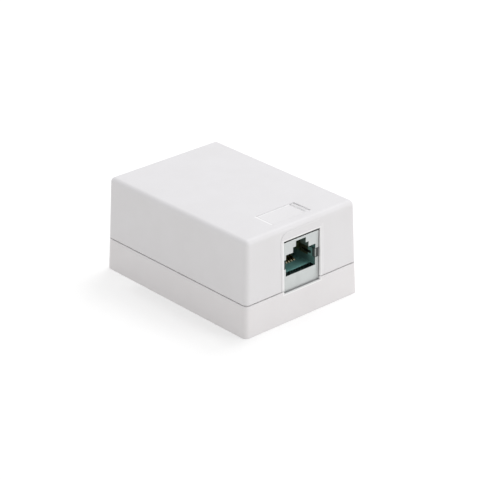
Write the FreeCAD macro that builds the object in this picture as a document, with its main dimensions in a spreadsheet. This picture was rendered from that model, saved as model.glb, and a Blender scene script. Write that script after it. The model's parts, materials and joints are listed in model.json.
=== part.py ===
import FreeCAD, Part
import math
import os
import re
import Sketcher
from FreeCAD import Vector

# Surface mount jack box for one shielded eight-contact jack. Millimetres, +Z up.
# The origin is the middle of the base's underside, and the jack looks towards -Y.

# Driving dimensions. Depths are counted from the jack's metal face towards the rear.
sizes = {
    # outside of the case
    "caseWidth": 45.0,
    "caseLength": 63.0,
    "caseHeight": 30.1,
    "seamOverJack": 0.75,
    "seamGap": 0.35,
    "baseLeanX": 0.45,
    "baseLeanY": 0.35,
    "coverLeanX": 0.7,
    "coverLeanY": 0.6,
    "cornerRound": 1.5,
    "topRound": 1.5,
    "wall": 2.0,
    "floorThick": 2.2,
    "roofThick": 2.2,
    # lap joint between base and cover
    "lapHeight": 1.8,
    "lapThick": 0.9,
    "lapClear": 0.15,
    "lapRound": 0.9,
    # window for the jack, and the low pad moulded round it
    "windowWidth": 14.4,
    "windowUnder": 0.1,
    "windowOver": 0.8,
    "padWidth": 16.7,
    "padProud": 0.08,
    "padRound": 3.0,
    # round cable entry, half in the base and half in the cover
    "entryRadius": 4.5,
    # snap legs of the cover
    "legSpacing": 36.0,
    "legWidth": 6.0,
    "legThick": 1.4,
    "legGap": 0.25,
    "legRoot": 4.0,
    "legRootLift": 1.0,
    "legRootTaper": 2.4,
    "hookUnderSeam": 2.2,
    "hookHeight": 1.1,
    "hookLead": 0.66,
    "hookBite": 0.4,
    "hookClear": 0.15,
    # screw holes through the base
    "screwInset": 8.0,
    "screwY": 8.0,
    "screwRadius": 2.1,
    "sinkRadius": 3.9,
    "bossRadius": 4.8,
    "bossHeight": 1.2,
    # cable saddle in front of the entry
    "saddleWidth": 12.0,
    "saddleLength": 4.5,
    "saddleDrop": 2.2,
    "saddleToRear": 4.0,
    "cableRadius": 4.0,
    "tieWidth": 2.8,
    "tieHeight": 1.5,
    "tieLift": 1.0,
    # label plate and its recess in the roof
    "recessWidth": 14.95,
    "recessLength": 7.2,
    "recessFront": 4.75,
    "recessShift": -0.275,
    "recessDepth": 0.9,
    "plateThick": 0.85,
    "plateGap": 0.1,
    "plateTuck": 0.05,
    "fingerWidth": 1.0,
    "fingerSlot": 0.55,
    "fingerGap": 0.55,
    "fingerRoot": 0.6,
    "fingerShort": 0.3,
    "lugLength": 1.6,
    "lugHeight": 0.4,
    "lugBite": 0.2,
    "lugClear": 0.1,
    "plateRound": 0.2,
    # jack: metal shell
    "faceSetback": 1.22,
    "jackWidth": 14.05,
    "jackHeight": 15.7,
    "jackDrop": 20.8,
    "sheet": 0.25,
    "foldRound": 0.35,
    "shellLength": 15.4,
    "sillHeight": 4.85,
    "portWidth": 11.7,
    "portHeight": 6.82,
    "stepWidth": 6.14,
    "stepHeight": 1.63,
    "tabWidth": 3.9,
    "tabHeight": 1.69,
    # ground springs folded in from the shell's sides
    "springLift": 2.55,
    "springHeight": 2.6,
    "springSheet": 0.25,
    "springClear": 0.2,
    "springLegs": 2.6,
    "springLoop": 1.2,
    "springFront": 0.1,
    "springLength": 6.6,
    "springBow": 0.3,
    "springSlit": 0.5,
    "springBowAt": 3.63,
    "springSlitFrom": 2.24,
    "springSlitTo": 5.41,
    "springBendSpare": 0.01,
    "springLeafBend": 0.8,
    "springBowBend": 3.0,
    "notchDepth": 0.9,
    # jack: moulded insert
    "insertFit": 0.05,
    "insertShort": 0.4,
    "combWall": 2.0,
    "floorFront": 2.35,
    "lipThick": 0.3,
    "lipReach": 0.9,
    "combFloorDepth": 2.3,
    "combFloorDrop": 1.6,
    "slotWidth": 0.62,
    "slotClear": 0.4,
    "combDepth": 0.6,
    "combOver": 0.8,
    "slotLip": 0.5,
    "springSpare": 0.8,
    # contacts
    "contactPitch": 1.02,
    "contactCount": 8,
    "contactWidth": 0.45,
    "contactThick": 0.3,
    "noseDepth": 5.45,
    "riseDepth": 6.6,
    "tipReach": 0.25,
    "tipRise": 3.8,
    "tailDropOdd": 2.55,
    "tailDropEven": 3.6,
    "bendRadius": 0.6,
    # circuit board and its punch-down block
    "boardThick": 1.2,
    "boardInset": 0.65,
    "tailHole": 0.4,
    "bladeColumns": 4,
    "bladeLines": 2,
    "bladePitch": 3.2,
    "bladeRows": 9.2,
    "blockPlate": 2.0,
    "blockLength": 6.0,
    "rowHeight": 4.6,
    "wireSlot": 1.0,
    "wireSlotDepth": 3.2,
    "bladeWidth": 2.3,
    "bladeSheet": 0.4,
    "bladeFit": 0.1,
    "bladeShort": 0.5,
    "bladeJaw": 0.3,
    "bladeJawDepth": 3.1,
    "bladeTail": 0.6,
    "bladeTailGap": 0.1,
    "bladeShoulder": 0.2,
    "bladeBevel": 0.4,
    "bladeLead": 0.3,
    "bladeLeadDepth": 0.7,
    # wiring cap and rear shield
    "capGap": 0.1,
    "capThick": 4.0,
    "capRib": 0.7,
    "capRibHeight": 1.0,
    "capRibReach": 1.6,
    "capRibOffset": 1.35,
    "capHole": 3.6,
    "shieldHoleSpare": 0.2,
    "shieldGap": 0.1,
    "tongueWidth": 5.0,
    "tongueLength": 7.0,
    "tongueHead": 1.5,
    "tongueHeadWidth": 8.0,
    # cradle that carries the jack
    "railSpacing": 10.4,
    "railThick": 1.5,
    "uprightClear": 0.15,
    "uprightThick": 1.8,
    "uprightStart": 4.0,
    "uprightLength": 9.0,
    "uprightHeight": 10.45,
    "nubLength": 2.0,
    "nubHeight": 1.2,
    "nubLift": 3.45,
    "nubBite": 0.3,
    "nubClear": 0.2,
    # hold-down ribs under the roof
    "holdSpacing": 8.0,
    "holdThick": 1.2,
    "holdStart": 3.5,
    "holdLength": 9.0,
    "holdGap": 0.25,
    # how far a cut runs past a face, and how far one shape is sunk into another
    "past": 1.0,
    "nick": 0.1,
    "sunk": 0.5,
}

# Derived sizes, each written once as a formula of the driving ones.
formulas = {
    "frontY": "-caseLength / 2",
    "rearY": "caseLength / 2",
    "faceY": "frontY + faceSetback",
    "jackBottom": "caseHeight - jackDrop",
    "jackTop": "jackBottom + jackHeight",
    "seamHeight": "jackBottom + seamOverJack",
    "coverBottom": "seamHeight + seamGap",
    "windowBottom": "jackBottom - windowUnder",
    "windowTop": "jackTop + windowOver",
    "padTop": "caseHeight - topRound",
    "shoulderZ": "seamHeight + lapHeight",
    "roofUnder": "caseHeight - roofThick",
    "rimX": "caseWidth / 2 - baseLeanX",
    "rimY": "caseLength / 2 - baseLeanY",
    "innerX": "rimX - wall",
    "innerY": "rimY - wall",
    "innerLean": "(roofUnder - shoulderZ) / (caseHeight - coverBottom)",
    "entryZ": "seamHeight + seamGap / 2",
    "hookBottom": "seamHeight - hookUnderSeam",
    "legInnerX": "innerX - legGap - legThick",
    "legOuterX": "innerX - legGap",
    "rootZ": "shoulderZ + legRootLift",
    "screwX": "caseWidth / 2 - screwInset",
    "saddleBack": "innerY - saddleToRear",
    "saddleFront": "saddleBack - saddleLength",
    "recessY": "frontY + recessFront",
    "recessBottom": "caseHeight - recessDepth",
    "recessLeft": "recessShift - recessWidth / 2",
    "recessRight": "recessShift + recessWidth / 2",
    "plateRight": "recessRight - fingerGap",
    "lugZ": "recessBottom + lugClear",
    "jackMiddle": "jackBottom + jackHeight / 2",
    "portFloor": "jackBottom + sillHeight",
    "portTop": "portFloor + portHeight",
    "stepTop": "portTop + stepHeight",
    "tabTop": "stepTop + tabHeight",
    "springLow": "portFloor + springLift",
    "springHigh": "springLow + springHeight",
    "springMiddle": "(springLow + springHigh) / 2",
    "springOuterX": "jackWidth / 2 - sheet - springSheet / 2",
    "springInnerX": "springOuterX - springLoop + springSheet",
    "insertLength": "shellLength - insertShort",
    "cavityDepth": "insertLength - combWall",
    "tipDepth": "cavityDepth + tipReach",
    "insertX": "jackWidth / 2 - sheet - insertFit",
    "insertLow": "jackBottom + sheet + insertFit",
    "insertHigh": "jackTop - sheet - insertFit",
    "insertFrontY": "faceY + sheet + insertFit",
    "boardX": "jackWidth / 2 - boardInset",
    "boardLow": "jackBottom + boardInset",
    "boardHigh": "jackTop - boardInset",
    "boardY": "faceY + insertLength",
    "blockY": "boardY + boardThick",
    "rowY": "blockY + blockPlate",
    "blockEnd": "blockY + blockLength",
    "bladeEnd": "blockEnd - bladeShort",
    "capY": "blockEnd + capGap",
    "capEnd": "capY + capThick",
    "shieldY": "faceY + shellLength + shieldGap",
    "shieldEnd": "capEnd + capGap + sheet",
    "railEndY": "faceY + shellLength",
    "uprightX": "jackWidth / 2 + uprightClear",
    "uprightY": "faceY + uprightStart",
    "uprightTop": "jackBottom + uprightHeight",
    "nubZ": "jackBottom + nubLift",
    "nubY": "uprightY + uprightLength / 2",
}

doc = FreeCAD.newDocument("SurfaceMountJackBox")
sheet = doc.addObject("Spreadsheet::Sheet", "Sizes")
for row, (alias, number) in enumerate(sizes.items(), start=1):
    sheet.set(f"A{row}", alias)
    sheet.set(f"B{row}", str(number))
    sheet.setAlias(f"B{row}", alias)
doc.recompute()


def expand(text):
    # a formula in the names above becomes an expression on the sheet's cells
    def swap(match):
        word = match.group(0)
        if word in formulas:
            return f"({expand(formulas[word])})"
        if word in sizes:
            return f"Sizes.{word}"
        return word

    return re.sub(r"[A-Za-z]+", swap, str(text))


def value(text):
    number = sheet.evalExpression(expand(text))
    return getattr(number, "Value", number)


def bind(thing, prop, text):
    thing.setExpression(prop, expand(text))


def start(label):
    body = doc.addObject("PartDesign::Body", label)
    body.Label = label
    return body


def origin(body, role):
    return next(f for f in body.Origin.OriginFeatures if f.Role == role)


def flat_sketch(body, name, role, level):
    # level is where the sketch's plane cuts the axis it is square to
    sketch = body.newObject("Sketcher::SketchObject", name)
    sketch.AttachmentSupport = [(origin(body, role), "")]
    sketch.MapMode = "FlatFace"
    side = "-" if role == "XZ_Plane" else ""
    bind(sketch, "AttachmentOffset.Base.z", f"{side}({level})")
    return sketch


def place_point(sketch, geometry, end, tag, across, up):
    for kind, text, axis in (("DistanceX", across, "x"), ("DistanceY", up, "y")):
        rule = Sketcher.Constraint(kind, -1, 1, geometry, end, value(text))
        index = sketch.addConstraint(rule)
        sketch.renameConstraint(index, f"{axis}{tag}")
        bind(sketch, f"Constraints.{axis}{tag}", text)


def add_loop(sketch, corners):
    # closed straight-sided outline, every corner held by its two distances
    first = sketch.GeometryCount
    count = len(corners)
    points = [Vector(value(a), value(b), 0) for a, b in corners]
    for i in range(count):
        sketch.addGeometry(Part.LineSegment(points[i], points[(i + 1) % count]))
    for i in range(count):
        after = first + (i + 1) % count
        sketch.addConstraint(Sketcher.Constraint("Coincident", first + i, 2, after, 1))
    for i, (across, up) in enumerate(corners):
        place_point(sketch, first + i, 1, first + i, across, up)


def add_circle(sketch, across, up, radius):
    centre = Vector(value(across), value(up), 0)
    index = sketch.addGeometry(Part.Circle(centre, Vector(0, 0, 1), value(radius)))
    place_point(sketch, index, 3, index, across, up)
    rule = sketch.addConstraint(Sketcher.Constraint("Radius", index, value(radius)))
    sketch.renameConstraint(rule, f"r{index}")
    bind(sketch, f"Constraints.r{index}", radius)


def rectangle(low_x, high_x, low_y, high_y):
    return [(low_x, low_y), (high_x, low_y), (high_x, high_y), (low_x, high_y)]


def centred(half_x, half_y):
    return rectangle(f"-({half_x})", half_x, f"-({half_y})", half_y)


def extrude(body, name, sketch, length, cut):
    # material is added, or taken away, towards the positive side of the sketch's plane
    kind = "PartDesign::Pocket" if cut else "PartDesign::Pad"
    feature = body.newObject(kind, name)
    feature.Profile = sketch
    bind(feature, "Length", length)
    square_to_y = sketch.AttachmentSupport[0][0].Role == "XZ_Plane"
    feature.Reversed = square_to_y != cut
    return feature


def prism(body, name, role, low, high, corners, cut=False):
    sketch = flat_sketch(body, name + "Outline", role, low)
    add_loop(sketch, corners)
    return extrude(body, name, sketch, f"({high}) - ({low})", cut)


def drill(body, name, role, low, high, across, up, radius, cut=True):
    sketch = flat_sketch(body, name + "Circle", role, low)
    add_circle(sketch, across, up, radius)
    return extrude(body, name, sketch, f"({high}) - ({low})", cut)


def lean(body, name, axis, level, angle):
    # drafts the walls square to one axis, so that they lean in from the level upwards
    doc.recompute()
    base = body.Tip
    height = value(level)
    faces = list(enumerate(base.Shape.Faces, start=1))
    walls = [f"Face{i}" for i, face in faces if abs(face.normalAt(0, 0).dot(axis)) > 0.999]
    foot = next(f"Face{i}" for i, face in faces if face.BoundBox.ZMax < height + 1e-3)
    feature = body.newObject("PartDesign::Draft", name)
    feature.Base = (base, walls)
    feature.NeutralPlane = (base, [foot])
    bind(feature, "Angle", angle)
    return feature


def hollow_between(body, name, levels, outlines):
    # tapering hollow between two rectangles, one above the other
    sections = []
    for level, outline, tag in zip(levels, outlines, ("Low", "High")):
        section = flat_sketch(body, name + tag, "XY_Plane", level)
        add_loop(section, outline)
        sections.append(section)
    feature = body.newObject("PartDesign::SubtractiveLoft", name)
    feature.Profile = sections[0]
    feature.Sections = sections[1:]
    feature.Ruled = True
    return feature


def repeat(body, name, originals, axis, pitch, count):
    row = body.newObject("PartDesign::LinearPattern", name)
    row.Originals = originals
    row.Direction = (origin(body, axis), [""])
    bind(row, "Length", f"({pitch}) * (({count}) - 1)")
    bind(row, "Occurrences", count)
    body.Tip = row
    return row


def ease(body, name, amount, chosen, kind="Fillet"):
    # rounds or bevels the edges of the body that chosen picks by their place
    doc.recompute()
    base = body.Tip
    names = [f"Edge{i}" for i, edge in enumerate(base.Shape.Edges, start=1) if chosen(edge)]
    feature = body.newObject("PartDesign::" + kind, name)
    feature.Base = (base, names)
    bind(feature, "Radius" if kind == "Fillet" else "Size", amount)
    return feature


def ends(edge):
    return [vertex.Point for vertex in edge.Vertexes]


def upright(low, high):
    # picks edges that climb, between two heights
    bottom = value(low) - 1e-3
    top = value(high) + 1e-3

    def chosen(edge):
        points = ends(edge)
        if len(points) < 2 or abs(points[0].z - points[1].z) < 0.2:
            return False
        return all(bottom <= p.z <= top for p in points)

    return chosen


def at_level(level):
    height = value(level)

    def chosen(edge):
        return all(abs(p.z - height) < 1e-3 for p in ends(edge))

    return chosen


def runs_along(edge, axis):
    points = ends(edge)
    return len(points) == 2 and abs(getattr((points[1] - points[0]).normalize(), axis)) > 0.999


def lengthwise(edge):
    return runs_along(edge, "y")


def add_path(sketch, corners, radii):
    # open run of straight lines joined by tangent arcs; inner corners are held points
    points = [Vector(value(a), value(b), 0) for a, b in corners]
    reach = []
    for i, radius in enumerate(radii, start=1):
        before = (points[i - 1] - points[i]).normalize()
        after = (points[i + 1] - points[i]).normalize()
        half = before.getAngle(after) / 2
        reach.append((value(radius), before, after, half))
    trimmed = [points[0]]
    for i, (radius, before, after, half) in enumerate(reach, start=1):
        trimmed.append(points[i] + before * (radius / math.tan(half)))
        trimmed.append(points[i] + after * (radius / math.tan(half)))
    trimmed.append(points[-1])
    lines = []
    for i in range(0, len(trimmed), 2):
        lines.append(sketch.addGeometry(Part.LineSegment(trimmed[i], trimmed[i + 1])))
    for i, (radius, before, after, half) in enumerate(reach, start=1):
        inward = (before + after).normalize()
        centre = points[i] + inward * (radius / math.sin(half))
        start_point, end_point = trimmed[2 * i - 1], trimmed[2 * i]
        middle = centre - inward * radius
        arc = sketch.addGeometry(Part.Arc(start_point, middle, end_point))
        left_turn = before.cross(after).z < 0
        near, far = (1, 2) if left_turn else (2, 1)
        sketch.addConstraint(Sketcher.Constraint("Tangent", lines[i - 1], 2, arc, near))
        sketch.addConstraint(Sketcher.Constraint("Tangent", arc, far, lines[i], 1))
        rule = sketch.addConstraint(Sketcher.Constraint("Radius", arc, radius))
        sketch.renameConstraint(rule, f"bend{i}")
        bind(sketch, f"Constraints.bend{i}", radii[i - 1])
        corner = sketch.addGeometry(Part.Point(points[i]), True)
        place_point(sketch, corner, 1, f"Corner{i}", *corners[i])
        sketch.addConstraint(Sketcher.Constraint("PointOnObject", corner, 1, lines[i - 1]))
        sketch.addConstraint(Sketcher.Constraint("PointOnObject", corner, 1, lines[i]))
    place_point(sketch, lines[0], 1, "Start", *corners[0])
    place_point(sketch, lines[-1], 2, "End", *corners[-1])


def sweep(body, name, path_role, path_level, corners, radii, section):
    path = flat_sketch(body, name + "Path", path_role, path_level)
    add_path(path, corners, radii)
    pipe = body.newObject("PartDesign::AdditivePipe", name)
    pipe.Profile = section
    pipe.Spine = (path, [])
    return pipe


def front_face_y(level):
    # the cover's front leans back as it climbs
    climb = f"(({level}) - coverBottom) / (caseHeight - coverBottom)"
    return f"-rimY + coverLeanY * {climb}"


def contact_x(index):
    return f"({index} - (contactCount + 1) / 2) * contactPitch"


def tail_z(index):
    return "portFloor - tailDropOdd" if index % 2 else "portFloor - tailDropEven"


def blade_places():
    columns = int(value("bladeColumns"))
    for index in range(columns * int(value("bladeLines"))):
        column, line = index % columns, index // columns
        across = f"({column} - (bladeColumns - 1) / 2) * bladePitch"
        up = f"jackMiddle + ({line} - (bladeLines - 1) / 2) * bladeRows"
        yield index + 1, across, up


# ---- base: tray with a lap tongue, cradle, screw bosses and cable saddle ----
def build_base():
    base = start("base")
    prism(base, "Tray", "XY_Plane", "0", "seamHeight", centred("caseWidth / 2", "caseLength / 2"))
    lean(base, "TrayLeanX", Vector(1, 0, 0), "0", "atan(baseLeanX / seamHeight)")
    lean(base, "TrayLeanY", Vector(0, 1, 0), "0", "atan(baseLeanY / seamHeight)")
    ease(base, "TrayCorners", "cornerRound", upright("0", "seamHeight"))
    prism(base, "Tongue", "XY_Plane", "floorThick", "shoulderZ",
          centred("innerX + lapThick", "innerY + lapThick"))
    ease(base, "TongueCorners", "lapRound", upright("seamHeight", "shoulderZ"))
    prism(base, "Cavity", "XY_Plane", "floorThick", "shoulderZ + past",
          centred("innerX", "innerY"), cut=True)
    ease(base, "CavityCorners", "lapRound", inside_corner("innerX", "innerY"))
    prism(base, "Window", "XZ_Plane", "frontY - past", "-innerY",
          rectangle("-windowWidth / 2", "windowWidth / 2", "windowBottom", "shoulderZ + past"),
          cut=True)
    drill(base, "EntryRound", "XZ_Plane", "innerY - nick", "rearY + past",
          "0", "entryZ", "entryRadius")
    prism(base, "EntrySides", "XZ_Plane", "innerY - nick", "rearY + past",
          rectangle("-entryRadius", "entryRadius", "entryZ", "shoulderZ + past"), cut=True)
    for side, hand in ((1, "Right"), (-1, "Left")):
        for end, place in ((1, "Rear"), (-1, "Front")):
            middle = f"{end} * legSpacing / 2"
            half = "(legWidth / 2 + hookClear)"
            near = f"{side} * (innerX - nick)"
            far = f"{side} * (innerX + hookBite + hookClear)"
            prism(base, f"Catch{hand}{place}", "XZ_Plane",
                  f"{middle} - {half}", f"{middle} + {half}",
                  rectangle(near, far, "hookBottom - hookClear",
                            "hookBottom + hookHeight + hookClear"), cut=True)
        across = f"{side} * screwX"
        drill(base, f"Boss{hand}", "XY_Plane", "floorThick / 2", "floorThick + bossHeight",
              across, "screwY", "bossRadius", cut=False)
        drill(base, f"ScrewHole{hand}", "XY_Plane", "-past", "floorThick + bossHeight + past",
              across, "screwY", "screwRadius")
        rail = f"{side} * railSpacing / 2"
        prism(base, f"Rail{hand}", "XY_Plane", "floorThick / 2", "jackBottom",
              rectangle(f"{rail} - railThick / 2", f"{rail} + railThick / 2",
                        "-innerY - sunk", "railEndY"))
        near = f"{side} * uprightX"
        far = f"{side} * (uprightX + uprightThick)"
        prism(base, f"Upright{hand}", "XY_Plane", "floorThick / 2", "uprightTop",
              rectangle(near, far, "uprightY", "uprightY + uprightLength"))
        prism(base, f"Nub{hand}", "XY_Plane", "nubZ - nubHeight / 2", "nubZ + nubHeight / 2",
              [(f"{side} * (uprightX + uprightThick / 2)", "nubY - nubLength / 2"),
               (near, "nubY - nubLength / 2"),
               (f"{side} * (uprightX - nubBite)", "nubY - nubLength / 4"),
               (f"{side} * (uprightX - nubBite)", "nubY + nubLength / 4"),
               (near, "nubY + nubLength / 2"),
               (f"{side} * (uprightX + uprightThick / 2)", "nubY + nubLength / 2")])
    prism(base, "CrossRail", "XY_Plane", "floorThick / 2", "jackBottom",
          rectangle("-railSpacing / 2", "railSpacing / 2", "railEndY - railThick", "railEndY"))
    prism(base, "Saddle", "XY_Plane", "floorThick / 2", "entryZ - saddleDrop",
          rectangle("-saddleWidth / 2", "saddleWidth / 2", "saddleFront", "saddleBack"))
    drill(base, "SaddleGroove", "XZ_Plane", "saddleFront - past", "saddleBack + past",
          "0", "entryZ", "cableRadius")
    tie_middle = "(saddleFront + saddleBack) / 2"
    prism(base, "TieSlot", "YZ_Plane", "-saddleWidth", "saddleWidth",
          rectangle(f"{tie_middle} - tieWidth / 2", f"{tie_middle} + tieWidth / 2",
                    "floorThick + tieLift", "floorThick + tieLift + tieHeight"), cut=True)
    ease(base, "ScrewSinks", "sinkRadius - screwRadius",
         screw_rim("floorThick + bossHeight"), kind="Chamfer")
    return base


def inside_corner(half_x, half_y):
    # picks the upright edges in the four corners of a rectangle
    x, y = value(half_x), value(half_y)

    def chosen(edge):
        points = ends(edge)
        return runs_along(edge, "z") and abs(abs(points[0].x) - x) < 1e-3 and (
            abs(abs(points[0].y) - y) < 1e-3)

    return chosen


def screw_rim(level):
    height, radius = value(level), value("screwRadius")

    def chosen(edge):
        curve = edge.Curve
        return (isinstance(curve, Part.Circle) and abs(curve.Radius - radius) < 1e-3
                and abs(curve.Center.z - height) < 1e-3)

    return chosen


# ---- cover: drafted shell with the jack window, label recess and snap legs ----
def build_cover():
    cover = start("cover")
    prism(cover, "Shell", "XY_Plane", "coverBottom", "caseHeight", centred("rimX", "rimY"))
    climb = "(caseHeight - coverBottom)"
    lean(cover, "ShellLeanX", Vector(1, 0, 0), "coverBottom", f"atan(coverLeanX / {climb})")
    lean(cover, "ShellLeanY", Vector(0, 1, 0), "coverBottom", f"atan(coverLeanY / {climb})")
    ease(cover, "ShellCorners", "cornerRound", upright("coverBottom", "caseHeight"))
    ease(cover, "RoofEdge", "topRound", at_level("caseHeight"))
    prism(cover, "WindowPad", "XZ_Plane", "frontY - past", f"{front_face_y('padTop')} + wall / 2",
          rectangle("-padWidth / 2", "padWidth / 2", "coverBottom", "padTop"))
    ease(cover, "PadCorners", "padRound", pad_corner)
    low, high = "coverBottom - past", "padTop + past"
    prism(cover, "PadFace", "YZ_Plane", "-padWidth / 2 - past", "padWidth / 2 + past",
          [("frontY - 2 * past", low),
           (f"{front_face_y(low)} - padProud", low),
           (f"{front_face_y(high)} - padProud", high),
           ("frontY - 2 * past", high)], cut=True)
    inner_top = ("innerX - coverLeanX * innerLean", "innerY - coverLeanY * innerLean")
    hollow_between(cover, "Cavity", ("shoulderZ", "roofUnder"),
                   (centred("innerX", "innerY"), centred(*inner_top)))
    prism(cover, "Skirt", "XY_Plane", "coverBottom - past", "shoulderZ",
          centred("innerX + lapThick + lapClear", "innerY + lapThick + lapClear"), cut=True)
    prism(cover, "Window", "XZ_Plane", "frontY - past", "-innerY + wall / 2",
          rectangle("-windowWidth / 2", "windowWidth / 2", "coverBottom - past", "windowTop"),
          cut=True)
    drill(cover, "EntryRound", "XZ_Plane", "innerY - wall / 2", "rearY + past",
          "0", "entryZ", "entryRadius")
    prism(cover, "LabelRecess", "XY_Plane", "recessBottom", "caseHeight + past",
          rectangle("recessLeft", "recessRight", "recessY", "recessY + recessLength"), cut=True)
    lug_back = "recessY + recessLength - fingerShort + lugClear"
    prism(cover, "LugGroove", "XY_Plane", "lugZ - lugClear", "lugZ + lugHeight + lugClear",
          rectangle("recessRight - nick", "recessRight + lugBite + lugClear",
                    f"{lug_back} - lugLength - 2 * lugClear", lug_back), cut=True)
    for side, hand in ((1, "Right"), (-1, "Left")):
        rib = f"{side} * holdSpacing / 2"
        prism(cover, f"HoldDown{hand}", "XY_Plane", "jackTop + holdGap", "roofUnder + sunk",
              rectangle(f"{rib} - holdThick / 2", f"{rib} + holdThick / 2",
                        "faceY + holdStart", "faceY + holdStart + holdLength"))
        for end, place in ((1, "Rear"), (-1, "Front")):
            middle = f"{end} * legSpacing / 2"
            hook_x = f"{side} * (innerX + hookBite)"
            prism(cover, f"Leg{hand}{place}", "XZ_Plane",
                  f"{middle} - legWidth / 2", f"{middle} + legWidth / 2",
                  [(f"{side} * legInnerX", "hookBottom"),
                   (f"{side} * legOuterX", "hookBottom"),
                   (hook_x, "hookBottom + hookLead"),
                   (hook_x, "hookBottom + hookHeight"),
                   (f"{side} * legOuterX", "hookBottom + hookHeight"),
                   (f"{side} * legOuterX", "rootZ"),
                   (f"{side} * (innerX + wall / 4)", "rootZ"),
                   (f"{side} * (innerX + wall / 4)", "rootZ + legRoot"),
                   (f"{side} * legInnerX", "rootZ + legRootTaper")])
    return cover


def pad_corner(edge):
    # the pad's two upper corners
    first = ends(edge)[0]
    x, z = value("padWidth / 2"), value("padTop")
    return runs_along(edge, "y") and abs(abs(first.x) - x) < 1e-3 and abs(first.z - z) < 1e-3


# ---- label plate: snap-in plate with a springing finger along its right edge ----
def build_label_plate():
    plate = start("label_plate")
    left, right = "recessLeft + plateGap", "plateRight"
    front, back = "recessY + plateTuck", "recessY + recessLength - plateGap"
    finger_in = "plateRight - fingerWidth"
    main_right = "plateRight - fingerWidth - fingerSlot"
    finger_end = "recessY + recessLength - fingerShort"
    top = "recessBottom + plateThick"
    prism(plate, "Plate", "XY_Plane", "recessBottom", top,
          [(left, front), (right, front), (right, finger_end), (finger_in, finger_end),
           (finger_in, f"{front} + fingerRoot"), (main_right, f"{front} + fingerRoot"),
           (main_right, back), (left, back)])
    prism(plate, "Lug", "XY_Plane", "lugZ", "lugZ + lugHeight",
          rectangle("plateRight - fingerWidth / 2", "recessRight + lugBite",
                    f"{finger_end} - lugLength", finger_end))
    ease(plate, "PlateEdge", "plateRound", at_level(top))
    return plate


# ---- jack shell: folded sheet with the stepped port and two ground springs ----
def build_jack_shell():
    shell = start("jack_shell")
    prism(shell, "Box", "XZ_Plane", "faceY", "faceY + shellLength",
          rectangle("-jackWidth / 2", "jackWidth / 2", "jackBottom", "jackTop"))
    ease(shell, "Folds", "foldRound", lengthwise)
    prism(shell, "Hollow", "XZ_Plane", "faceY + sheet", "faceY + shellLength + past",
          rectangle("-jackWidth / 2 + sheet", "jackWidth / 2 - sheet",
                    "jackBottom + sheet", "jackTop - sheet"), cut=True)
    right = [("portWidth / 2", "portFloor"), ("portWidth / 2", "portTop"),
             ("stepWidth / 2", "portTop"), ("stepWidth / 2", "stepTop"),
             ("tabWidth / 2", "stepTop"), ("tabWidth / 2", "tabTop")]
    left = [(f"-{across}", up) for across, up in reversed(right)]
    prism(shell, "Port", "XZ_Plane", "faceY - past", "faceY + sheet + nick", right + left,
          cut=True)
    prism(shell, "LatchWindows", "YZ_Plane", "-jackWidth", "jackWidth",
          rectangle("nubY - nubLength / 2 - nubClear", "nubY + nubLength / 2 + nubClear",
                    "nubZ - nubHeight / 2 - nubClear", "nubZ + nubHeight / 2 + nubClear"),
          cut=True)
    for side, hand in ((1, "Right"), (-1, "Left")):
        prism(shell, f"Notch{hand}", "XZ_Plane", "faceY - past", "faceY + notchDepth",
              rectangle(f"{side} * (portWidth / 2 - nick)", f"{side} * (jackWidth / 2 + past)",
                        "springLow - springClear", "springHigh + springClear"), cut=True)
        section = flat_sketch(shell, f"Spring{hand}Section", "XZ_Plane", "faceY + springLegs")
        outer = f"{side} * springOuterX"
        add_loop(section, rectangle(f"{outer} - springSheet / 2", f"{outer} + springSheet / 2",
                                    "springLow", "springHigh"))
        bow = f"{side} * (springInnerX - springBow)"
        loop_y = "faceY + springFront + springSheet / 2"
        loop_radius = "(springLoop - springSheet) / 2"
        sweep(shell, f"Spring{hand}", "XY_Plane", "springMiddle",
              [(outer, "faceY + springLegs"), (outer, loop_y),
               (f"{side} * springInnerX", loop_y),
               (f"{side} * springInnerX", "faceY + springFront + springLoop"),
               (bow, "faceY + springBowAt"),
               (f"{side} * (springInnerX + springSheet / 2)", "faceY + springLength")],
              [loop_radius, f"{loop_radius} - springBendSpare", "springLeafBend", "springBowBend"],
              section)
        near = f"{side} * (springInnerX - springBow - past)"
        far = f"{side} * (springInnerX + springSheet)"
        low_x, high_x = (near, far) if side > 0 else (far, near)
        prism(shell, f"Slit{hand}", "YZ_Plane", low_x, high_x,
              rectangle("faceY + springSlitFrom", "faceY + springSlitTo",
                        "springMiddle - springSlit / 2", "springMiddle + springSlit / 2"),
              cut=True)
    return shell


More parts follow.
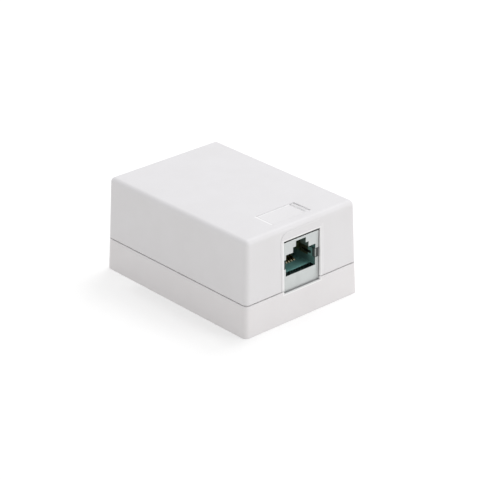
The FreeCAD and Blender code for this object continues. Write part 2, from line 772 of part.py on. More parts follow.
# ---- jack insert: moulded block with the plug cavity, contact slots and comb ----
def build_jack_insert():
    insert = start("jack_insert")
    prism(insert, "Block", "XZ_Plane", "insertFrontY", "boardY",
          rectangle("-insertX", "insertX", "insertLow", "insertHigh"))
    prism(insert, "SillStep", "XZ_Plane", "insertFrontY - past", "faceY + floorFront",
          rectangle("-insertX - past", "insertX + past", "insertLow - past", "portFloor"),
          cut=True)
    right = [("portWidth / 2", "portFloor"), ("portWidth / 2", "portTop"),
             ("stepWidth / 2", "portTop"), ("stepWidth / 2", "stepTop"),
             ("tabWidth / 2", "stepTop"), ("tabWidth / 2", "insertHigh + past")]
    left = [(f"-{across}", up) for across, up in reversed(right)]
    prism(insert, "Cavity", "XZ_Plane", "insertFrontY - past", "faceY + cavityDepth",
          right + left, cut=True)
    prism(insert, "SpringRoom", "YZ_Plane", "-insertX - past", "insertX + past",
          rectangle("insertFrontY - past", "faceY + springLength + springSpare",
                    "springLow - springClear", "springHigh + springClear"), cut=True)
    comb_back, comb_top = "faceY + cavityDepth + combDepth", "portFloor + tipRise + combOver"
    for parity, hand in ((1, "Odd"), (2, "Even")):
        tail = tail_z(parity)
        across = contact_x(parity)
        slot = prism(insert, f"Slot{hand}", "YZ_Plane", f"{across} - slotWidth / 2",
                     f"{across} + slotWidth / 2",
                     [("faceY + noseDepth - slotClear", f"{tail} - slotClear"),
                      ("boardY + past", f"{tail} - slotClear"),
                      ("boardY + past", f"{tail} + slotClear"),
                      (comb_back, f"{tail} + slotClear"),
                      (comb_back, comb_top),
                      ("faceY + cavityDepth - nick", comb_top),
                      ("faceY + cavityDepth - nick", "portFloor + nick"),
                      ("faceY + riseDepth - slotClear", "portFloor + nick"),
                      ("faceY + noseDepth - slotClear", "portFloor - slotLip")], cut=True)
        repeat(insert, f"Slots{hand}", [slot], "X_Axis", "2 * contactPitch", "contactCount / 2")
    under, over = "portFloor - combFloorDrop", "portFloor - lipThick"
    prism(insert, "UnderLip", "YZ_Plane", "-portWidth / 2", "portWidth / 2",
          rectangle("faceY + floorFront - nick", "faceY + floorFront + lipReach", under, over),
          cut=True)
    across = contact_x(1)
    gap = prism(insert, "CombGap", "YZ_Plane", f"{across} - slotWidth / 2",
                f"{across} + slotWidth / 2",
                rectangle("faceY + floorFront + lipReach - nick",
                          "faceY + floorFront + combFloorDepth", under, over), cut=True)
    repeat(insert, "CombGaps", [gap], "X_Axis", "contactPitch", "contactCount")
    return insert


# ---- contacts: flat spring strips that turn under the floor and rise to the comb ----
def build_contact(index):
    strip = start(f"contact_{index}")
    tail = tail_z(index)
    slope = "tipRise / (tipDepth - riseDepth)"
    nose = f"portFloor - (riseDepth - noseDepth) * {slope}"
    section = flat_sketch(strip, "StripSection", "XZ_Plane", "blockY")
    add_loop(section, rectangle("-contactWidth / 2", "contactWidth / 2",
                                f"{tail} - contactThick / 2", f"{tail} + contactThick / 2"))
    sweep(strip, "Strip", "YZ_Plane", "0",
          [("blockY", tail), ("faceY + noseDepth", tail),
           ("faceY + noseDepth", nose),
           ("faceY + tipDepth", "portFloor + tipRise")],
          ["bendRadius", "bendRadius"], section)
    bind(strip, "Placement.Base.x", contact_x(index))
    return strip


# ---- circuit board between the insert and the punch-down block ----
def build_jack_board():
    board = start("jack_board")
    sketch = flat_sketch(board, "BoardOutline", "XZ_Plane", "boardY")
    add_loop(sketch, rectangle("-boardX", "boardX", "boardLow", "boardHigh"))
    for index in range(1, int(value("contactCount")) + 1):
        add_circle(sketch, contact_x(index), tail_z(index), "tailHole")
    for number, across, up in blade_places():
        add_circle(sketch, across, up, "tailHole")
    extrude(board, "Board", sketch, "boardThick", False)
    return board


# ---- punch-down block: two rows of slotted towers over the blades ----
def build_idc_block():
    block = start("idc_block")
    prism(block, "Plate", "XZ_Plane", "blockY", "rowY",
          rectangle("-boardX", "boardX", "boardLow", "boardHigh"))
    for line, hand in ((-0.5, "Lower"), (0.5, "Upper")):
        middle = f"jackMiddle + {line} * bladeRows"
        prism(block, f"Row{hand}", "XZ_Plane", "rowY - sunk", "blockEnd",
              rectangle("-boardX", "boardX", f"{middle} - rowHeight / 2",
                        f"{middle} + rowHeight / 2"))
    first = "-(bladeColumns - 1) / 2 * bladePitch"
    wire_slot = prism(block, "WireSlot", "XZ_Plane", "blockEnd - wireSlotDepth",
                      "blockEnd + past",
                      rectangle(f"{first} - wireSlot / 2", f"{first} + wireSlot / 2",
                                "boardLow - past", "boardHigh + past"), cut=True)
    repeat(block, "WireSlots", [wire_slot], "X_Axis", "bladePitch", "bladeColumns")
    for line, hand in ((-0.5, "Lower"), (0.5, "Upper")):
        middle = f"jackMiddle + {line} * bladeRows"
        half_x = "(bladeWidth / 2 + bladeFit)"
        half_z = "(bladeSheet / 2 + bladeFit)"
        pocket = prism(block, f"BladeSlot{hand}", "XZ_Plane", "blockY - past", "blockEnd + past",
                       rectangle(f"{first} - {half_x}", f"{first} + {half_x}",
                                 f"{middle} - {half_z}", f"{middle} + {half_z}"), cut=True)
        repeat(block, f"BladeSlots{hand}", [pocket], "X_Axis", "bladePitch", "bladeColumns")
    return block


# ---- blades: forked strips that bite through the wires' insulation ----
def build_blade(number, across, up):
    blade = start(f"idc_blade_{number}")
    half, jaw, tail = "bladeWidth / 2", "bladeJaw / 2", "bladeTail / 2"
    shoulder = "blockY + bladeShoulder"
    right = [(tail, "boardY + bladeTailGap"), (tail, shoulder), (half, shoulder),
             (half, "bladeEnd - bladeBevel"), (f"{half} - bladeBevel", "bladeEnd"),
             (f"{jaw} + bladeLead", "bladeEnd"), (jaw, "bladeEnd - bladeLeadDepth"),
             (jaw, "bladeEnd - bladeJawDepth")]
    left = [(f"-({x})", y) for x, y in reversed(right)]
    prism(blade, "Fork", "XY_Plane", "-bladeSheet / 2", "bladeSheet / 2", right + left)
    bind(blade, "Placement.Base.x", across)
    bind(blade, "Placement.Base.z", up)
    return blade


# ---- wiring cap: presses the wires into the blades ----
def build_wire_cap():
    cap = start("wire_cap")
    prism(cap, "Plate", "XZ_Plane", "capY", "capEnd",
          rectangle("-boardX", "boardX", "boardLow", "boardHigh"))
    first = "-(bladeColumns - 1) / 2 * bladePitch"
    for line, hand in ((-0.5, "Lower"), (0.5, "Upper")):
        for step, place in ((-1, "Under"), (1, "Over")):
            middle = f"jackMiddle + {line} * bladeRows + {step} * capRibOffset"
            rib = prism(cap, f"Rib{hand}{place}", "XZ_Plane", "capY - capRibReach", "capY + sunk",
                        rectangle(f"{first} - capRib / 2", f"{first} + capRib / 2",
                                  f"{middle} - capRibHeight / 2", f"{middle} + capRibHeight / 2"))
            repeat(cap, f"Ribs{hand}{place}", [rib], "X_Axis", "bladePitch", "bladeColumns")
    drill(cap, "CableHole", "XZ_Plane", "capY - capRibReach - past", "capEnd + past",
          "0", "jackMiddle", "capHole")
    return cap


# ---- rear shield: folded sheet box behind the shell, with a tongue for the cable ----
def build_rear_shield():
    shield = start("rear_shield")
    prism(shield, "Box", "XZ_Plane", "shieldY", "shieldEnd",
          rectangle("-jackWidth / 2", "jackWidth / 2", "jackBottom", "jackTop"))
    ease(shield, "Folds", "foldRound", lengthwise)
    prism(shield, "Hollow", "XZ_Plane", "shieldY - past", "shieldEnd - sheet",
          rectangle("-jackWidth / 2 + sheet", "jackWidth / 2 - sheet",
                    "jackBottom + sheet", "jackTop - sheet"), cut=True)
    drill(shield, "CableHole", "XZ_Plane", "shieldEnd - sheet - nick", "shieldEnd + past",
          "0", "jackMiddle", "capHole + shieldHoleSpare")
    neck, head = "tongueWidth / 2", "tongueHeadWidth / 2"
    neck_end = "shieldEnd + tongueLength - tongueHead"
    right = [(neck, "shieldEnd - sheet / 2"), (neck, neck_end), (head, neck_end),
             (head, "shieldEnd + tongueLength")]
    left = [(f"-{x}", y) for x, y in reversed(right)]
    level = "jackMiddle - capHole - shieldHoleSpare - sheet"
    prism(shield, "Tongue", "XY_Plane", f"{level} - sheet", level, right + left)
    return shield


subparts = [build_base(), build_cover(), build_label_plate(), build_jack_shell(),
            build_jack_insert(), build_jack_board(), build_idc_block(), build_wire_cap(),
            build_rear_shield()]
subparts += [build_contact(index) for index in range(1, int(value("contactCount")) + 1)]
subparts += [build_blade(*place) for place in blade_places()]
doc.recompute()

for thing in doc.Objects:
    if "Invalid" in thing.State or "Error" in thing.State:
        raise RuntimeError(f"{thing.Label} failed: {thing.State}")

# every added feature adds material and every cut takes some away
for body in subparts:
    volume = 0.0
    for feature in body.Group:
        if not feature.isDerivedFrom("PartDesign::Feature"):
            continue
        change = feature.Shape.Volume - volume
        cuts = feature.TypeId in ("PartDesign::Pocket", "PartDesign::SubtractiveLoft")
        adds = feature.TypeId in ("PartDesign::Pad", "PartDesign::AdditiveLoft",
                                  "PartDesign::AdditivePipe")
        if (cuts and change > -1e-4) or (adds and change < 1e-4):
            raise RuntimeError(f"{body.Label}: {feature.Label} changed {change:.4f} mm3")
        volume = feature.Shape.Volume

os.makedirs("parts", exist_ok=True)
for body in subparts:
    if body.Shape.isNull() or not body.Shape.isValid():
        raise RuntimeError(f"{body.Label} has no valid shape")
    body.Shape.exportStep(f"parts/{body.Label}.step")
    print(f"{body.Label}: {len(body.Shape.Solids)} solid, {body.Shape.Volume:.1f} mm3")
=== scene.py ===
import json
import math

import bpy
from mathutils import Matrix, Vector

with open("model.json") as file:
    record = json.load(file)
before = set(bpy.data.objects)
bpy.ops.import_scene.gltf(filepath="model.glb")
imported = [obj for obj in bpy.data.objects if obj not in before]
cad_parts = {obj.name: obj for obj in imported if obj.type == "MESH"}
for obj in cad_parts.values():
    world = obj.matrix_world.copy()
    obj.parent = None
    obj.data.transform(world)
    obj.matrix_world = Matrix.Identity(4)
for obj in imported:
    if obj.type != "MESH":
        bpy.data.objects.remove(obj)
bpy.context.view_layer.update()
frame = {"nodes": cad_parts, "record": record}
bpy.ops.object.select_all(action="DESELECT")
print("stage: frame loaded,", len(frame["nodes"]), "nodes")


# the camera looks down at the case's corner left of the window
shot = {
    "place": (-0.360891, -0.404415, 0.274428),
    "turn": -42.041,   # degrees round the case, 0 is straight at the window
    "height": 25.735,  # degrees down
    "roll": -0.062,
    "lens": 150.86,
    "sensor": 36,
    "nearest": 0.01,
    "farthest": 20,
}


def makeCamera(name, spec):
    turn, height, roll = (math.radians(spec[key]) for key in ("turn", "height", "roll"))
    back = Vector((math.sin(turn) * math.cos(height), -math.cos(turn) * math.cos(height),
                   math.sin(height)))
    right = (-back).cross(Vector((0, 0, 1))).normalized()
    up = right.cross(-back)
    rolledRight = right * math.cos(roll) + up * math.sin(roll)
    rolledUp = up * math.cos(roll) - right * math.sin(roll)
    pose = Matrix((rolledRight, rolledUp, back)).transposed().to_4x4()
    pose.translation = Vector(spec["place"])
    data = bpy.data.cameras.new(name)
    data.lens = spec["lens"]
    data.sensor_width = spec["sensor"]
    data.clip_start = spec["nearest"]
    data.clip_end = spec["farthest"]
    camera = bpy.data.objects.new(name, data)
    camera.matrix_world = pose
    bpy.context.scene.collection.objects.link(camera)
    bpy.context.scene.camera = camera


makeCamera("shotCamera", shot)
print("stage: camera")


# shader maths: a wire is a socket that adds, multiplies and mixes like a number
class Wire:
    def __init__(self, tree, socket=None):
        self.tree = tree
        self.socket = socket

    def node(self, kind, settings=None, values=None, out=0):
        made = self.tree.nodes.new("ShaderNode" + kind)
        for name, setting in (settings or {}).items():
            setattr(made, name, setting)
        for name, value in (values or {}).items():
            if isinstance(value, Wire):
                self.tree.links.new(value.socket, made.inputs[name])
            else:
                made.inputs[name].default_value = value
        return Wire(self.tree, made.outputs[out] if made.outputs else None)

    def maths(self, operation, *values):
        return self.node("Math", {"operation": operation}, dict(enumerate(values)))

    def __add__(self, other):
        return self.maths("ADD", self, other)

    __radd__ = __add__

    def __sub__(self, other):
        return self.maths("SUBTRACT", self, other)

    def __rsub__(self, other):
        return self.maths("SUBTRACT", other, self)

    def __mul__(self, other):
        return self.maths("MULTIPLY", self, other)

    __rmul__ = __mul__

    def clipped(self):
        return self.node("Clamp", values={"Value": self})

    def swing(self, amount):
        # a pattern's swing to both sides of its middle
        return (self - 0.5) * amount

    def blend(self, low, high):
        # this wire is the share of high
        return self.node("Mix", {"data_type": "RGBA"}, {0: self, 6: low, 7: high}, 2)

    def ramp(self, low, high):
        # 0 below low, 1 above high
        return self.node("MapRange", {"interpolation_type": "SMOOTHSTEP"},
                         {"Value": self, "From Min": low, "From Max": high})


def rgb(red, green, blue):
    return (red, green, blue, 1.0)


def newMaterial(name):
    material = bpy.data.materials.new(name)
    material.use_nodes = True
    tree = material.node_tree
    tree.nodes.clear()
    return material, Wire(tree)


def noise(wire, scale, detail, stretch=None):
    place = wire.node("TexCoord", out="Object")
    if stretch:
        place = wire.node("Mapping", values={"Vector": place, "Scale": stretch})
    values = {"Vector": place, "Scale": scale, "Detail": detail}
    return wire.node("TexNoise", values=values, out="Fac")


def inBox(wire, low, high, soft):
    # 1 inside a box given in the part's own coordinates, with sides that fade over soft
    place = wire.node("TexCoord", out="Object")
    share = 1.0
    for axis, bottom, top in zip("XYZ", low, high):
        along = wire.node("SeparateXYZ", values={"Vector": place}, out=axis)
        above = along.ramp(bottom - soft, bottom + soft)
        beyond = along.ramp(top - soft, top + soft)
        share = share * above * (1 - beyond)
    return share


def openness(wire, reach, samples, span):
    # 0 at the bottom of a pocket, 1 where nothing stands within reach; it sets where shade is
    # painted
    seen = wire.node("AmbientOcclusion", {"samples": samples}, {"Distance": reach}, "AO")
    return seen.ramp(*span)


def edgeMask(wire, radius, samples, gain):
    # bright along the edges of a piece, where its rounded normal leaves its flat one
    rounded = wire.node("Bevel", {"samples": samples}, {"Radius": radius})
    flat = wire.node("NewGeometry", out="Normal")
    likeness = wire.node("VectorMath", {"operation": "DOT_PRODUCT"}, {0: rounded, 1: flat}, "Value")
    return rounded, ((1 - likeness) * gain).clipped()


def finish(wire, values):
    shader = wire.node("BsdfPrincipled", values=values)
    wire.node("OutputMaterial", values={"Surface": shader})


# white moulded plastic of the case and the label plate
whiteLook = {
    "colour": rgb(0.799, 0.789, 0.807),
    "shade": rgb(0.785, 0.774, 0.790),
    "worn": rgb(0.835, 0.83, 0.838),
    "paintedHighlight": rgb(0.965, 0.96, 0.968),
    "paintedShade": rgb(0.38, 0.38, 0.39),
    "wear": 0.6,
    "ior": 1.49,
    "rough": {"plain": 0.46, "grain": 0.10, "mottle": 0.08, "edge": 0.06},
    "bump": {"Strength": 0.5, "Distance": 0.000012},
    "edge": {"radius": 0.00022, "samples": 6, "gain": 2.2},
    "mottle": {"scale": 95, "detail": 3.0},
    "flow": {"scale": 240, "detail": 2.0, "stretch": (1.0, 1.0, 0.25)},
    "grain": {"scale": 5200, "detail": 3.0},
    "mottleShare": 0.7,
    "span": (0.35, 0.65),
    # painted highlights: the label plate, its finger slots, the roof rims round the plate, the
    # window rim and the pad's edges are painted lighter, to stand in for light they catch
    "paintedHighlightSoft": 0.00005,
    "paintedHighlightZones": {
        "labelPlate": {"low": (-0.00785, -0.02685, 0.0291), "high": (0.0054, -0.01945, 0.03002),
                       "share": 1.0},
        "fingerSlots": {"low": (0.0054, -0.02685, 0.0291), "high": (0.0073, -0.01945, 0.03002),
                        "share": 0.75},
        "roofBesidePlate": {"low": (-0.00835, -0.0267, 0.0300),
                            "high": (-0.00772, -0.0196, 0.0302), "share": 0.8},
        "roofBehindPlate": {"low": (-0.0080, -0.02015, 0.0300),
                            "high": (0.0049, -0.0196, 0.0302), "share": 0.8},
        "windowRim": {"low": (-0.0077, -0.0320, 0.0088), "high": (0.0076, -0.03045, 0.0262),
                      "share": 0.85},
        "padLeft": {"low": (-0.0086, -0.0320, 0.0100), "high": (-0.0082, -0.0306, 0.0284),
                    "share": 0.25},
        "padRight": {"low": (0.0077, -0.0320, 0.0100), "high": (0.0086, -0.0306, 0.0270),
                     "share": 0.15},
        "padTop": {"low": (-0.0070, -0.0309, 0.0283), "high": (0.0070, -0.0305, 0.0287),
                   "share": 0.25},
    },
    # painted shade: the narrow openings beside and under the jack, and the label's finger, are
    # painted dark to stand in for the shade in them
    "gapSoft": 0.0001,
    "paintedShadeZones": {
        "leftOfJack": {"low": (-0.0074, -0.03045, 0.0088), "high": (-0.0070, -0.0285, 0.0262),
                       "share": 1.0},
        "rightOfJack": {"low": (0.0070, -0.03045, 0.0088), "high": (0.0074, -0.0285, 0.0262),
                        "share": 1.0},
        "underJack": {"low": (-0.0072, -0.03072, 0.0090), "high": (0.0072, -0.0285, 0.0094),
                      "share": 1.0},
        "labelFinger": {"low": (0.00562, -0.0258, 0.0291), "high": (0.0065, -0.0203, 0.0302),
                        "share": 0.13},
    },
}

# the base is painted a little paler than the cover, to offset the shade it gets near the floor
baseLightenedAgainstShade = {"colour": rgb(0.829, 0.810, 0.823), "shade": rgb(0.815, 0.795, 0.807)}


def makeWhitePlastic(name, spec):
    material, wire = newMaterial(name)
    mottle = noise(wire, **spec["mottle"])
    flow = noise(wire, **spec["flow"])
    grain = noise(wire, **spec["grain"])
    rounded, edge = edgeMask(wire, **spec["edge"])
    patches = mottle * spec["mottleShare"] + flow * (1 - spec["mottleShare"])
    colour = patches.ramp(*spec["span"]).blend(spec["colour"], spec["shade"])
    colour = (edge * spec["wear"]).blend(colour, spec["worn"])
    paintedHighlightZones = 0.0
    for zone in spec["paintedHighlightZones"].values():
        paintedHighlightZones = inBox(wire, zone["low"], zone["high"], spec["paintedHighlightSoft"]) * zone["share"] + paintedHighlightZones
    # painted highlights: the zones above blend toward the highlight colour
    colour = paintedHighlightZones.clipped().blend(colour, spec["paintedHighlight"])
    # painted shade: these zones blend toward the painted shade colour
    for zone in spec["paintedShadeZones"].values():
        share = inBox(wire, zone["low"], zone["high"], spec["gapSoft"]) * zone["share"]
        colour = share.blend(colour, spec["paintedShade"])
    rough = spec["rough"]
    sheen = rough["plain"] + grain.swing(rough["grain"]) + mottle.swing(rough["mottle"])
    bump = wire.node("Bump", values={**spec["bump"], "Height": grain, "Normal": rounded})
    finish(wire, {"Base Color": colour, "Roughness": sheen - edge * rough["edge"],
                  "Normal": bump, "IOR": spec["ior"]})
    return material


# nickel plating on the folded sheet
nickelLook = {
    "colour": rgb(0.560, 0.584, 0.578),
    "stain": rgb(0.532, 0.555, 0.549),
    "bright": rgb(0.76, 0.78, 0.77),
    "wear": 0.8,
    "rough": {"plain": 0.38, "smudge": 0.22, "rolled": 0.12, "edge": 0.08},
    "bump": {"Strength": 0.35, "Distance": 0.000006},
    "edge": {"radius": 0.00008, "samples": 6, "gain": 2.5},
    "rolled": {"scale": 3000, "detail": 3.0, "stretch": (1.0, 0.06, 1.0)},
    "smudge": {"scale": 260, "detail": 4.0},
    "span": (0.42, 0.72),
    # painted reflections and painted shade: the folds and the ground springs are painted with the
    # lit desk, the dark port and the teal moulding they would mirror, with a painted glint on the
    # right bend, and the places behind the springs and their slits are painted near black
    "paintedReflectionSoft": 0.00005,
    "paintedReflectionMetal": 0.2,
    "paintedReflectionsAndShade": {
        "rightFold": {"low": (0.0067, -0.0304, 0.0093), "high": (0.0071, -0.0300, 0.0251),
                      "tint": rgb(0.72, 0.74, 0.735)},
        "behindSprings": {"low": (-0.0069, -0.0285, 0.0160), "high": (0.0069, -0.0230, 0.0197),
                          "tint": rgb(0.006, 0.008, 0.007)},
        "springBends": {"low": (-0.0071, -0.0313, 0.0166), "high": (0.0071, -0.0293, 0.0194),
                        "tint": rgb(0.045, 0.065, 0.062)},
        "rightGlint": {"low": (0.00588, -0.0304, 0.0166), "high": (0.00628, -0.0299, 0.0194),
                       "tint": rgb(0.34, 0.36, 0.35)},
        "leavesFront": {"low": (-0.0066, -0.0293, 0.0166), "high": (0.0066, -0.0276, 0.0194),
                        "tint": rgb(0.19, 0.36, 0.335)},
        "leavesBack": {"low": (-0.0066, -0.0276, 0.0166), "high": (0.0066, -0.0220, 0.0194),
                       "tint": rgb(0.05, 0.055, 0.03)},
        "slits": {"low": (-0.0066, -0.02875, 0.01735), "high": (0.0066, -0.0264, 0.0182),
                  "tint": rgb(0.006, 0.008, 0.007)},
    },
}


def makeNickel(name, spec):
    material, wire = newMaterial(name)
    rolled = noise(wire, **spec["rolled"])
    smudge = noise(wire, **spec["smudge"])
    rounded, edge = edgeMask(wire, **spec["edge"])
    colour = smudge.ramp(*spec["span"]).blend(spec["colour"], spec["stain"])
    colour = (edge * spec["wear"]).blend(colour, spec["bright"])
    metal = 1.0
    # painted reflections and painted shade: each zone takes its tint and loses most of its metal
    for zone in spec["paintedReflectionsAndShade"].values():
        share = inBox(wire, zone["low"], zone["high"], spec["paintedReflectionSoft"])
        colour = share.blend(colour, zone["tint"])
        metal = (1 - share) * metal + share * spec["paintedReflectionMetal"]
    rough = spec["rough"]
    sheen = rough["plain"] + smudge.swing(rough["smudge"]) + rolled.swing(rough["rolled"])
    bump = wire.node("Bump", values={**spec["bump"], "Height": rolled, "Normal": rounded})
    finish(wire, {"Base Color": colour, "Roughness": sheen - edge * rough["edge"],
                  "Metallic": metal, "Normal": bump})
    return material


# small mouldings: teal insert, dark punch-down block, milky wiring cap
mouldLook = {
    "wear": 0.5,
    "ior": 1.5,
    "swings": {"mottle": 0.16, "grain": 0.08},
    "bump": {"Strength": 0.4, "Distance": 0.000008},
    "edge": {"radius": 0.0001, "samples": 6, "gain": 2.0},
    "mottle": {"scale": 520, "detail": 3.0},
    "grain": {"scale": 7000, "detail": 2.0},
    "span": (0.35, 0.68),
    "openSpan": (0.25, 0.62),
    "openSamples": 8,
    "paintedShade": {},
}
tealLook = {
    "colour": rgb(0.25, 0.565, 0.53),
    "shade": rgb(0.215, 0.50, 0.47),
    "worn": rgb(0.32, 0.62, 0.58),
    "paintedPocketShade": rgb(0.028, 0.052, 0.048),
    "pocket": 0.006,
    "rough": 0.34,
    # painted shade: the port's walls darken toward the back, its roof and comb are painted near
    # black, and the floor round the contacts' slots is painted dark olive
    "paintedShade": {
        "walls": {"low": (-0.0065, -0.0330, 0.0144), "high": (0.0065, -0.0100, 0.0206),
                  "soft": 0.0001, "tint": rgb(0.115, 0.24, 0.225)},
        "wallsBack": {"low": (-0.0065, -0.0272, 0.0144), "high": (0.0065, -0.0100, 0.0206),
                      "soft": 0.0009, "tint": rgb(0.07, 0.15, 0.14)},
        "comb": {"low": (-0.0070, -0.0268, 0.0165), "high": (0.0070, -0.0100, 0.0206),
                 "soft": 0.0006, "tint": rgb(0.085, 0.115, 0.045)},
        "roof": {"low": (-0.0070, -0.0330, 0.0206), "high": (0.0070, -0.0100, 0.0260),
                 "soft": 0.0002, "tint": rgb(0.10, 0.145, 0.127)},
        "roofBack": {"low": (-0.0070, -0.0270, 0.0206), "high": (0.0070, -0.0100, 0.0260),
                     "soft": 0.0004, "tint": rgb(0.05, 0.065, 0.045)},
        "contactSlots": {"low": (-0.0042, -0.0241, 0.0100), "high": (0.0042, -0.0100, 0.0143),
                         "soft": 0.00015, "tint": rgb(0.085, 0.10, 0.028)},
    },
}
greyLook = {
    "colour": rgb(0.060, 0.064, 0.068),
    "shade": rgb(0.045, 0.048, 0.052),
    "worn": rgb(0.13, 0.135, 0.14),
    "paintedPocketShade": rgb(0.03, 0.032, 0.034),
    "pocket": 0.002,
    "rough": 0.42,
}
milkyLook = {
    "colour": rgb(0.66, 0.69, 0.69),
    "shade": rgb(0.60, 0.635, 0.635),
    "worn": rgb(0.76, 0.78, 0.78),
    "paintedPocketShade": rgb(0.50, 0.53, 0.53),
    "pocket": 0.002,
    "rough": 0.30,
}


def makeSmallMould(name, spec):
    material, wire = newMaterial(name)
    mottle = noise(wire, **spec["mottle"])
    grain = noise(wire, **spec["grain"])
    rounded, edge = edgeMask(wire, **spec["edge"])
    body = mottle.ramp(*spec["span"]).blend(spec["colour"], spec["shade"])
    # painted shade: the colour darkens toward the pocket shade colour where something stands close
    seen = openness(wire, spec["pocket"], spec["openSamples"], spec["openSpan"])
    colour = (edge * spec["wear"]).blend(seen.blend(spec["paintedPocketShade"], body), spec["worn"])
    # painted shade: each zone blends toward its own dark tint
    for zone in spec["paintedShade"].values():
        share = inBox(wire, zone["low"], zone["high"], zone["soft"])
        colour = share.blend(colour, zone["tint"])
    swings = spec["swings"]
    rough = spec["rough"] + mottle.swing(swings["mottle"]) + grain.swing(swings["grain"])
    bump = wire.node("Bump", values={**spec["bump"], "Height": grain, "Normal": rounded})
    finish(wire, {"Base Color": colour, "Roughness": rough, "Normal": bump, "IOR": spec["ior"]})
    return material


# plating on the spring strips and the blades; the blades take a polish where the wires rub, and the
# spring strips carry a painted glint where they rise out of the floor
platingLook = {
    "swings": {"dull": 0.24, "drawn": 0.10},
    "bump": {"Strength": 0.3, "Distance": 0.000004},
    "drawnLines": {"scale": 5200, "detail": 2.0, "stretch": (1.0, 0.08, 1.0)},
    "dullPatches": {"scale": 900, "detail": 3.0},
    "span": (0.40, 0.75),
    "rubAndGlintSoft": 0.0002,
    "rubAndGlintMetal": 0.9,   # how much of the metal's own shading the polish and the painted glint lose
}
goldLook = {
    "colour": rgb(0.86, 0.62, 0.26),
    "dull": rgb(0.62, 0.44, 0.20),
    "polishAndGlint": rgb(1.0, 0.92, 0.66),
    "rough": 0.24,
    # painted glint: the strips are painted brighter and less metal where they rise out of the floor
    "rubbedAndGlint": {"low": (-0.0045, -0.0256, 0.0138), "high": (0.0045, -0.0236, 0.0147)},
}
tinLook = {
    "colour": rgb(0.74, 0.735, 0.72),
    "dull": rgb(0.58, 0.575, 0.56),
    "polishAndGlint": rgb(0.84, 0.83, 0.82),
    "rough": 0.38,
    "rubbedAndGlint": {"low": (-0.0070, -0.0130, 0.0), "high": (0.0070, -0.0050, 0.030)},
}


def makePlating(name, spec):
    material, wire = newMaterial(name)
    drawn = noise(wire, **spec["drawnLines"])
    dull = noise(wire, **spec["dullPatches"])
    # real polish on the blades, a painted glint on the spring strips
    rubbedAndGlint = inBox(wire, spec["rubbedAndGlint"]["low"], spec["rubbedAndGlint"]["high"], spec["rubAndGlintSoft"])
    body = dull.ramp(*spec["span"]).blend(spec["colour"], spec["dull"])
    swings = spec["swings"]
    rough = spec["rough"] + dull.swing(swings["dull"]) + drawn.swing(swings["drawn"])
    bump = wire.node("Bump", values={**spec["bump"], "Height": drawn})
    finish(wire, {"Base Color": rubbedAndGlint.blend(body, spec["polishAndGlint"]), "Roughness": rough,
                  "Metallic": 1 - rubbedAndGlint * spec["rubAndGlintMetal"], "Normal": bump})
    return material


# circuit board: solder mask over faint copper tracks, bare along its edges
boardLook = {
    "mask": rgb(0.018, 0.105, 0.052),
    "track": rgb(0.030, 0.165, 0.075),
    "bare": rgb(0.42, 0.36, 0.22),
    "rough": {"plain": 0.30, "weave": 0.12, "edge": 0.3},
    "bump": {"Strength": 0.5, "Distance": 0.00002},
    "edge": {"radius": 0.00012, "samples": 6, "gain": 3.0},
    "tracks": {"scale": 1500, "detail": 1.0, "stretch": (1.0, 1.0, 0.15)},
    "weave": {"scale": 4200, "detail": 2.0},
    "span": (0.48, 0.54),
}


def makeBoard(name, spec):
    material, wire = newMaterial(name)
    tracks = noise(wire, **spec["tracks"]).ramp(*spec["span"])
    weave = noise(wire, **spec["weave"])
    rounded, edge = edgeMask(wire, **spec["edge"])
    colour = edge.blend(tracks.blend(spec["mask"], spec["track"]), spec["bare"])
    rough = spec["rough"]
    sheen = rough["plain"] + weave.swing(rough["weave"]) + edge * rough["edge"]
    bump = wire.node("Bump", values={**spec["bump"], "Height": tracks, "Normal": rounded})
    finish(wire, {"Base Color": colour, "Roughness": sheen, "Normal": bump})
    return material


coverLook = makeWhitePlastic("whitePlastic", whiteLook)
looks = {
    "white_plastic": coverLook,
    "plated_sheet": makeNickel("nickelPlate", nickelLook),
    "teal_plastic": makeSmallMould("tealPlastic", {**mouldLook, **tealLook}),
    "grey_plastic": makeSmallMould("greyPlastic", {**mouldLook, **greyLook}),
    "clear_white_plastic": makeSmallMould("milkyPlastic", {**mouldLook, **milkyLook}),
    "gold_wire": makePlating("goldPlate", {**platingLook, **goldLook}),
    "tin_blade": makePlating("tinPlate", {**platingLook, **tinLook}),
    "circuit_board": makeBoard("solderMask", boardLook),
}
# painted light: the base gets a paler copy of the white plastic
baseLook = makeWhitePlastic("basePlastic", {**whiteLook, **baseLightenedAgainstShade})

for part in frame["record"]["subparts"]:
    for slot in frame["nodes"][part["node"]].material_slots:
        slot.material = baseLook if part["node"] == "base" else looks[part["material_slot"]]
print("stage: materials on", len(frame["nodes"]), "nodes")


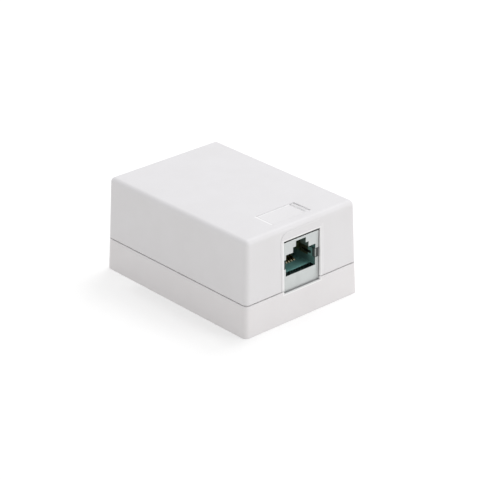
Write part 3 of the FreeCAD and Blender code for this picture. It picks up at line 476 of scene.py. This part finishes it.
# floor, backdrop light and lamps
stageLook = {
    "floorHalf": 3.0,
    "floorColour": rgb(0.80, 0.79, 0.765),  # what the floor sends back to the case
    "floorTint": rgb(0.68, 0.68, 0.68),     # what shows of it, under its glow
    "floorGlow": 0.42,
    "white": rgb(1, 1, 1),
    "worldLevel": 0.744,                    # the backdrop's light on the case; it shows as 1
    # painted shadow: the darker strip of floor close along the case's left side
    "contact": {"low": (-0.0275, -0.0325, -0.01), "high": (-0.019, 0.0155, 0.01),
                "soft": 0.0035},
    "contactTint": rgb(0.83, 0.83, 0.83),
}
lamps = {
    "keyLamp": {"place": (0.68, 0.22, 1.10), "size": 0.6, "power": 3.98},
    "fillLamp": {"place": (0.78, -1.22, 0.48), "size": 0.9, "power": 5.15},
}


def seenDirectly(wire):
    path = wire.node("LightPath", out="Is Camera Ray")
    glossy = wire.node("LightPath", out="Is Glossy Ray")
    through = wire.node("LightPath", out="Is Transmission Ray")
    return (path + glossy + through).clipped()


def makeFloor(spec):
    bpy.ops.mesh.primitive_plane_add(size=2 * spec["floorHalf"], location=(0, 0, 0))
    floor = bpy.context.object
    floor.name = "floor"
    material, wire = newMaterial("floorPaper")
    plain = wire.node("BsdfDiffuse", values={"Color": spec["floorColour"]})
    shaded = wire.node("BsdfDiffuse", values={"Color": spec["floorTint"]})
    # painted shadow: the floor's glow is darker along the case's left side
    glowWithPaintedShadow = inBox(wire, **spec["contact"]).blend(spec["white"], spec["contactTint"])
    glow = wire.node("Emission", values={"Color": glowWithPaintedShadow, "Strength": spec["floorGlow"]})
    lit = wire.node("AddShader", values={0: shaded, 1: glow})
    both = wire.node("MixShader", values={0: seenDirectly(wire), 1: plain, 2: lit})
    wire.node("OutputMaterial", values={"Surface": both})
    floor.data.materials.append(material)


def makeWorld(spec):
    world = bpy.data.worlds.new("studio")
    world.use_nodes = True
    world.node_tree.nodes.clear()
    wire = Wire(world.node_tree)
    strength = seenDirectly(wire) * (1 - spec["worldLevel"]) + spec["worldLevel"]
    sky = wire.node("Background", values={"Color": spec["white"], "Strength": strength})
    wire.node("OutputWorld", values={"Surface": sky})
    bpy.context.scene.world = world


def makeLamp(name, spec):
    data = bpy.data.lights.new(name, "AREA")
    data.energy = spec["power"]
    data.size = spec["size"]
    lamp = bpy.data.objects.new(name, data)
    lamp.location = spec["place"]
    # the lamp shines down its own -Z, so its Z points away from the case
    lamp.rotation_euler = Vector(spec["place"]).to_track_quat("Z", "Y").to_euler()
    bpy.context.scene.collection.objects.link(lamp)


makeFloor(stageLook)
makeWorld(stageLook)
for lampName, lampSpec in lamps.items():
    makeLamp(lampName, lampSpec)
bpy.context.scene.view_settings.view_transform = "Standard"
print("stage: floor and lamps")
